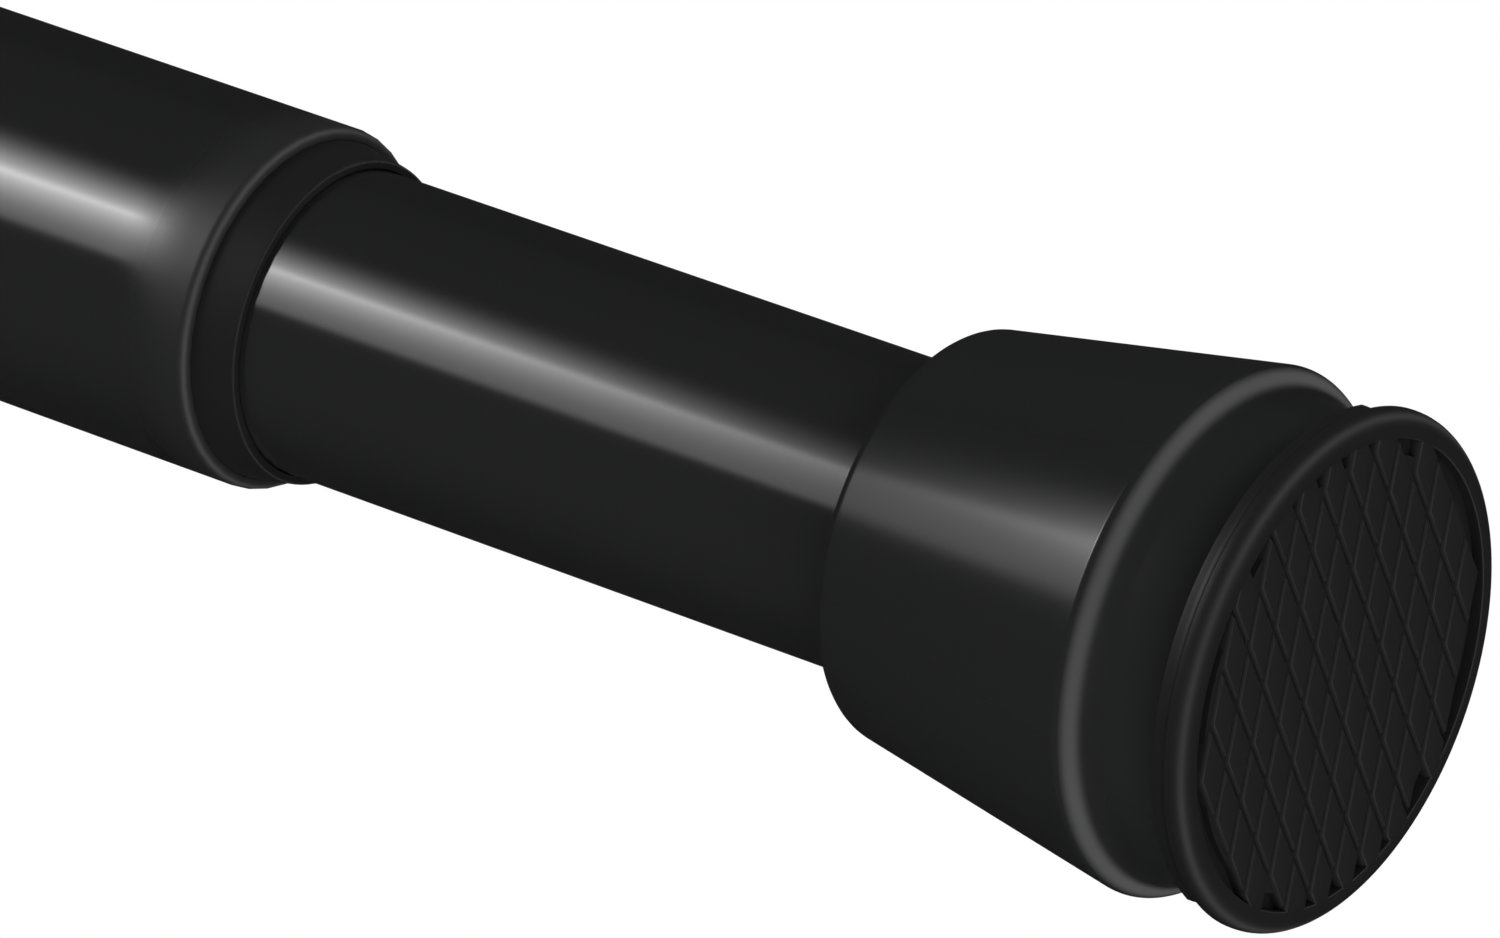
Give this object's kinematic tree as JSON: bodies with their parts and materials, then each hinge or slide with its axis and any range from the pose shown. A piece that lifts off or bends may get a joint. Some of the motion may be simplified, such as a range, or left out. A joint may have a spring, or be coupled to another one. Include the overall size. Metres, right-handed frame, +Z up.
{
  "type": "shower curtain rod",
  "caption": "Telescopic shower curtain rod held between two walls by a spring, with tapered end caps and diamond-faced feet.",
  "frame": {"origin": "centre of the larger tube's foot, on the face that meets the wall", "axes": "+X along the rod to the smaller tube's foot, +Z up"},
  "size_m": [1.1151, 0.0356, 0.0356],
  "materials": {
    "painted_tube": "satin black",
    "black_collar": "satin",
    "black_cap": "satin",
    "soft_pad": "matt",
    "foot_base": "satin",
    "natural_nylon": "natural",
    "lock_nylon": "matt",
    "plated_steel": "zinc plated",
    "spring_steel": "oiled"
  },
  "bodies": {
    "outer_rod": {"outer_tube": "painted_tube", "mouth_collar": "black_collar", "outer_tube_plug": "natural_nylon", "outer_end_cap": "black_cap", "outer_foot_base": "foot_base", "outer_foot_screw": "plated_steel", "outer_foot_pad": "soft_pad"},
    "lock_sleeve": {"lock_sleeve": "lock_nylon"},
    "lock_cone": {"lock_cone": "lock_nylon"},
    "spindle": {"spindle": "plated_steel", "spindle_clip": "plated_steel", "spindle_end_nut": "plated_steel", "spring_seat": "plated_steel", "spring_seat_pin": "plated_steel"},
    "inner_rod": {"inner_tube": "painted_tube", "inner_tube_plug": "natural_nylon", "inner_end_cap": "black_cap", "inner_foot_base": "foot_base", "inner_foot_screw": "plated_steel", "inner_foot_pad": "soft_pad", "tail_bush": "natural_nylon", "tension_spring": "spring_steel", "spring_stop": "natural_nylon"}
  },
  "joints": [
    {"name": "telescope", "type": "slide", "parent": "outer_rod", "child": "lock_sleeve", "axis": [1, 0, 0], "range_m": [-0.0283, 0.7137]},
    {"name": "lock_twist", "type": "hinge", "parent": "lock_sleeve", "child": "spindle", "pos_m": [0.11, 0, 0], "axis": [1, 0, 0], "range_deg": [0, 540]},
    {"name": "cone_feed", "type": "slide", "parent": "lock_sleeve", "child": "lock_cone", "axis": [1, 0, 0], "range_m": [0, 0.0045]},
    {"name": "spring_travel", "type": "slide", "parent": "spindle", "child": "inner_rod", "axis": [-1, 0, 0], "range_m": [0, 0.02], "stiffness_N_per_m": 2500, "springref_m": -0.01, "deforming": ["tension_spring"]}
  ],
  "couplings": [
    {"joint": "cone_feed", "follows": "lock_twist", "m_per_rad": 0.00047746}
  ]
}
